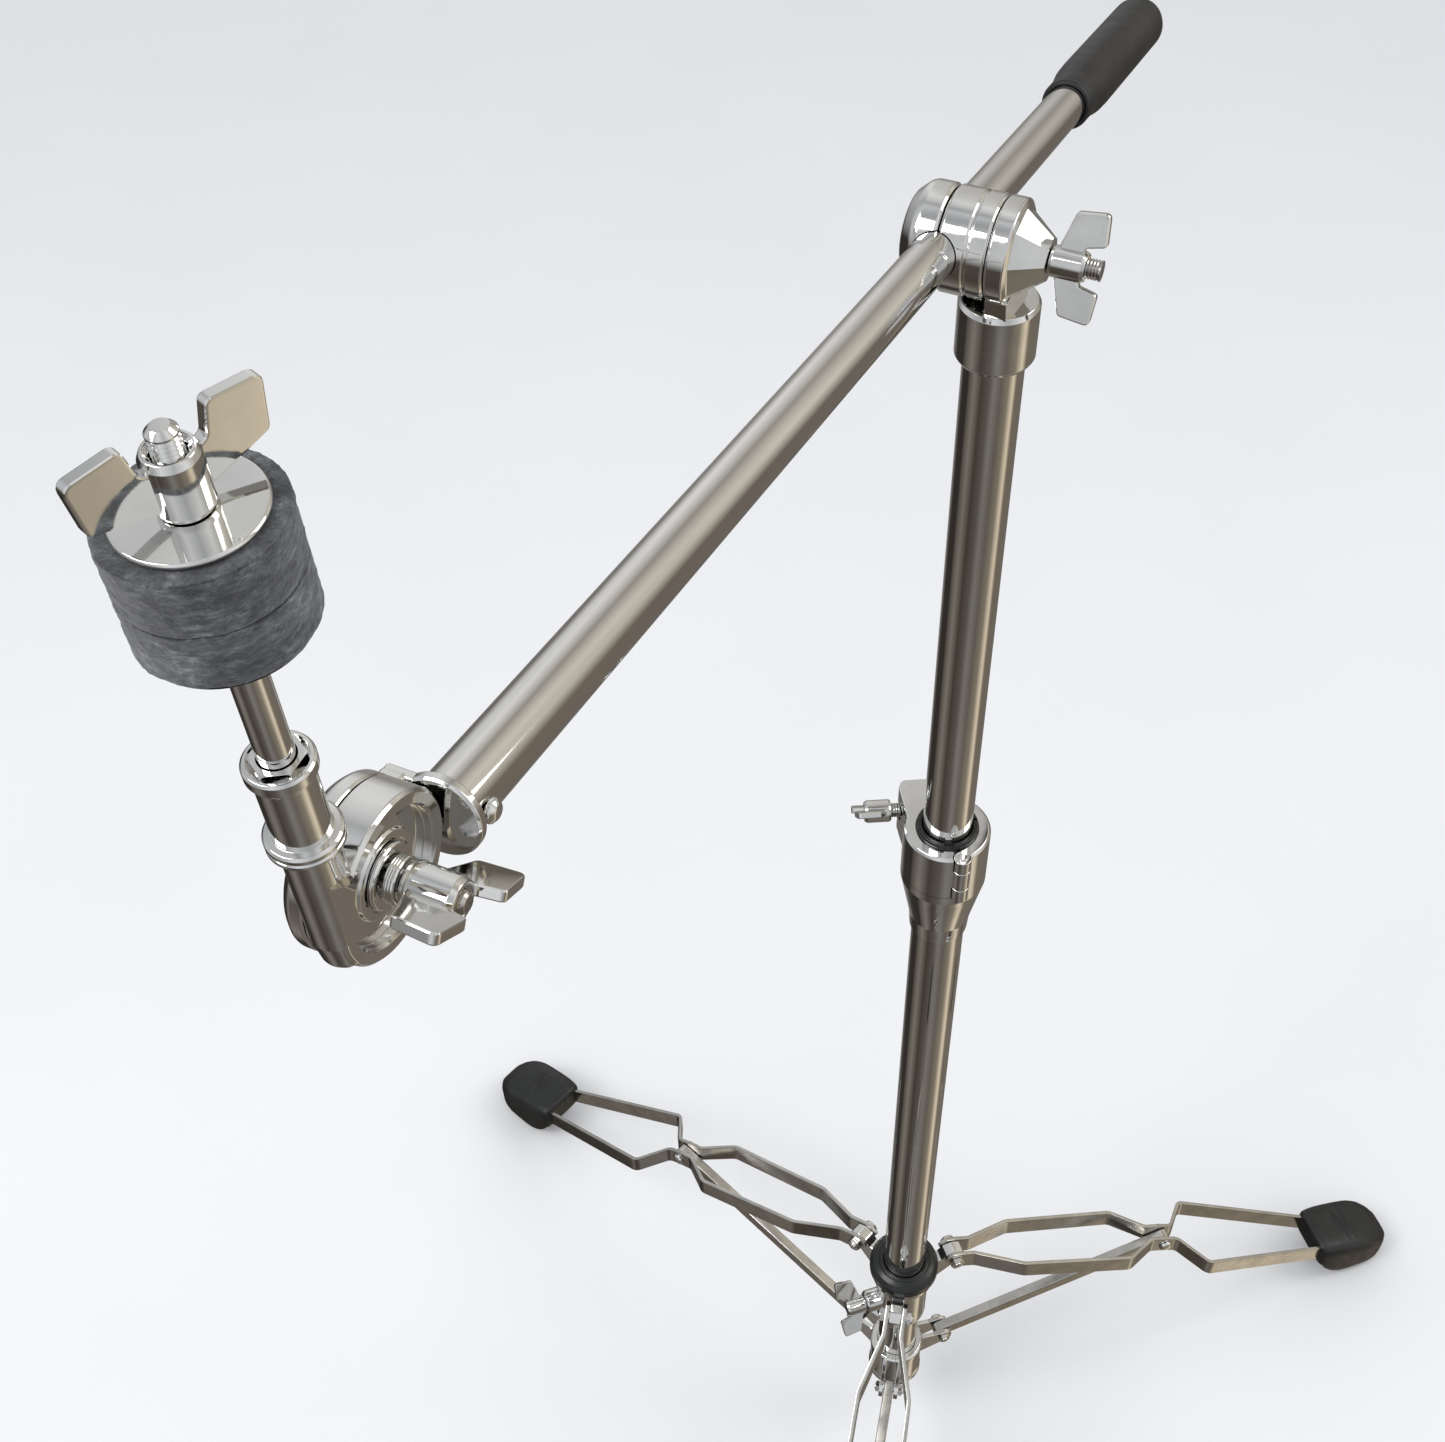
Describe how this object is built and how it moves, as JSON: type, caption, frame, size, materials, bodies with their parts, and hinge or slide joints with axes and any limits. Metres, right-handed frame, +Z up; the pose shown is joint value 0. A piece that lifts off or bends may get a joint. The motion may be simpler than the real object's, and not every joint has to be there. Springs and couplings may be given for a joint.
{
  "type": "cymbal boom stand",
  "caption": "Folding tripod stand with a telescopic column, a tilting and sliding boom, and a ratchet tilter that clamps a cymbal between felts.",
  "frame": {"origin": "centre of the flat lower end face of the column's end cap, on the column axis; the floor is 58 mm lower", "axes": "+Z up along the column; -Y points along the front leg"},
  "size_m": [0.78, 0.731, 1.2928],
  "materials": {
    "polished_chrome": "polished",
    "plated_steel": "polished, slightly warm reflections",
    "black_plastic": "satin",
    "grip_rubber": "satin",
    "foot_rubber": "moulded",
    "felt": "pressed wool felt, mottled"
  },
  "bodies": {
    "column": {"lower_tube": "plated_steel", "column_end_cap": "black_plastic", "brace_collar": "polished_chrome", "height_clamp": "polished_chrome", "clamp_hinge_pin": "polished_chrome", "front_brace_pin": "polished_chrome", "right_brace_pin": "polished_chrome", "left_brace_pin": "polished_chrome"},
    "leg_collar": {"leg_collar": "polished_chrome", "leg_collar_bushing": "black_plastic", "leg_front_pivot_bolt": "polished_chrome", "leg_right_pivot_bolt": "polished_chrome", "leg_left_pivot_bolt": "polished_chrome"},
    "tripod_wing": {"tripod_wing_screw": "polished_chrome"},
    "leg_front": {"leg_front_strip_left": "plated_steel", "leg_front_strip_right": "plated_steel", "leg_front_waist_rivet_left": "polished_chrome", "leg_front_waist_rivet_right": "polished_chrome", "leg_front_foot": "foot_rubber"},
    "brace_front": {"front_brace": "plated_steel"},
    "leg_right": {"leg_right_strip_left": "plated_steel", "leg_right_strip_right": "plated_steel", "leg_right_waist_rivet_left": "polished_chrome", "leg_right_waist_rivet_right": "polished_chrome", "leg_right_foot": "foot_rubber"},
    "brace_right": {"right_brace": "plated_steel"},
    "leg_left": {"leg_left_strip_left": "plated_steel", "leg_left_strip_right": "plated_steel", "leg_left_waist_rivet_left": "polished_chrome", "leg_left_waist_rivet_right": "polished_chrome", "leg_left_foot": "foot_rubber"},
    "brace_left": {"left_brace": "plated_steel"},
    "clamp_jaw": {"clamp_jaw": "polished_chrome"},
    "height_wing": {"height_wing_screw": "polished_chrome"},
    "swivel": {"height_bushing": "black_plastic"},
    "upper_column": {"upper_tube": "polished_chrome", "tube_glide": "black_plastic", "boom_socket": "polished_chrome"},
    "boom_head": {"boom_clamp_half": "polished_chrome", "boom_clamp_cap": "polished_chrome", "boom_eye_bolt": "plated_steel"},
    "boom_wing": {"boom_wing_nut": "polished_chrome"},
    "boom_arm": {"boom_tube": "polished_chrome", "boom_grip": "grip_rubber", "tilter_socket": "polished_chrome", "boom_end_rivet": "polished_chrome"},
    "tilter": {"tilter_rod_holder": "polished_chrome", "rod_nut": "polished_chrome", "cymbal_rod": "plated_steel", "seat_washer": "black_plastic", "lower_felt": "felt", "upper_felt": "felt", "felt_sleeve": "black_plastic", "top_washer": "polished_chrome", "tilter_bolt": "plated_steel", "tilter_washer": "polished_chrome", "tilter_spring": "polished_chrome"},
    "tilter_wing": {"tilter_wing_nut": "polished_chrome"},
    "cymbal_wing": {"cymbal_wing_nut": "polished_chrome"}
  },
  "joints": [
    {"name": "tripod_fold", "type": "slide", "parent": "column", "child": "leg_collar", "axis": [0, 0, 1], "range_m": [0, 0.2558]},
    {"name": "leg_front_fold", "type": "hinge", "parent": "leg_collar", "child": "leg_front", "pos_m": [0, -0.0373, 0.1664], "axis": [1, 0, 0], "range_deg": [0, 56]},
    {"name": "brace_front_fold", "type": "hinge", "parent": "column", "child": "brace_front", "pos_m": [0, -0.0359, 0.0415], "axis": [-1, 0, 0], "range_deg": [0, 71.35]},
    {"name": "leg_right_fold", "type": "hinge", "parent": "leg_collar", "child": "leg_right", "pos_m": [0.0323, 0.01865, 0.1664], "axis": [-0.5, 0.866, 0], "range_deg": [0, 56]},
    {"name": "brace_right_fold", "type": "hinge", "parent": "column", "child": "brace_right", "pos_m": [0.03109, 0.01795, 0.0415], "axis": [0.5, -0.866, 0], "range_deg": [0, 71.35]},
    {"name": "leg_left_fold", "type": "hinge", "parent": "leg_collar", "child": "leg_left", "pos_m": [-0.0323, 0.01865, 0.1664], "axis": [-0.5, -0.866, 0], "range_deg": [0, 56]},
    {"name": "brace_left_fold", "type": "hinge", "parent": "column", "child": "brace_left", "pos_m": [-0.03109, 0.01795, 0.0415], "axis": [0.5, 0.866, 0], "range_deg": [0, 71.35]},
    {"name": "tripod_wing_spin", "type": "hinge", "parent": "leg_collar", "child": "tripod_wing", "pos_m": [-0.02598, -0.015, 0.13], "axis": [-0.866, -0.5, 0], "continuous": true},
    {"name": "clamp_jaw_open", "type": "hinge", "parent": "column", "child": "clamp_jaw", "pos_m": [0.01042, -0.0188, 0.648], "axis": [0, 0, 1], "range_deg": [0, 3]},
    {"name": "height_wing_spin", "type": "hinge", "parent": "column", "child": "height_wing", "pos_m": [-0.00647, 0.02415, 0.649], "axis": [-0.9659, -0.2588, 0], "continuous": true},
    {"name": "column_swivel", "type": "hinge", "parent": "column", "child": "swivel", "pos_m": [0, 0, 0.651], "axis": [0, 0, 1], "continuous": true},
    {"name": "height_slide", "type": "slide", "parent": "swivel", "child": "upper_column", "axis": [0, 0, 1], "range_m": [-0.28, 0.1]},
    {"name": "boom_tilt", "type": "hinge", "parent": "upper_column", "child": "boom_head", "pos_m": [0, 0, 1.0118], "axis": [-0.9778, 0.2096, 0], "range_deg": [-50, 45]},
    {"name": "boom_wing_spin", "type": "hinge", "parent": "upper_column", "child": "boom_wing", "pos_m": [0.02445, -0.00524, 1.0118], "axis": [0.9778, -0.2096, 0], "continuous": true},
    {"name": "boom_slide", "type": "slide", "parent": "boom_head", "child": "boom_arm", "axis": [0.2059, 0.9605, -0.1874], "range_m": [-0.13, 0.3]},
    {"name": "tilter_tilt", "type": "hinge", "parent": "boom_arm", "child": "tilter", "pos_m": [-0.11211, -0.37982, 1.08713], "axis": [-0.9778, 0.2096, 0], "range_deg": [-90, 60]},
    {"name": "tilter_wing_spin", "type": "hinge", "parent": "tilter", "child": "tilter_wing", "pos_m": [-0.09255, -0.38401, 1.08713], "axis": [0.9778, -0.2096, 0], "continuous": true},
    {"name": "cymbal_wing_spin", "type": "hinge", "parent": "tilter", "child": "cymbal_wing", "pos_m": [-0.1122, -0.40268, 1.22128], "axis": [-0.0091, -0.0427, 0.999], "continuous": true}
  ],
  "couplings": [
    {"joint": "leg_front_fold", "follows": "tripod_fold", "rad_per_m": 3.8205},
    {"joint": "brace_front_fold", "follows": "tripod_fold", "rad_per_m": 4.8665},
    {"joint": "leg_right_fold", "follows": "tripod_fold", "rad_per_m": 3.8205},
    {"joint": "brace_right_fold", "follows": "tripod_fold", "rad_per_m": 4.8665},
    {"joint": "leg_left_fold", "follows": "tripod_fold", "rad_per_m": 3.8205},
    {"joint": "brace_left_fold", "follows": "tripod_fold", "rad_per_m": 4.8665}
  ]
}
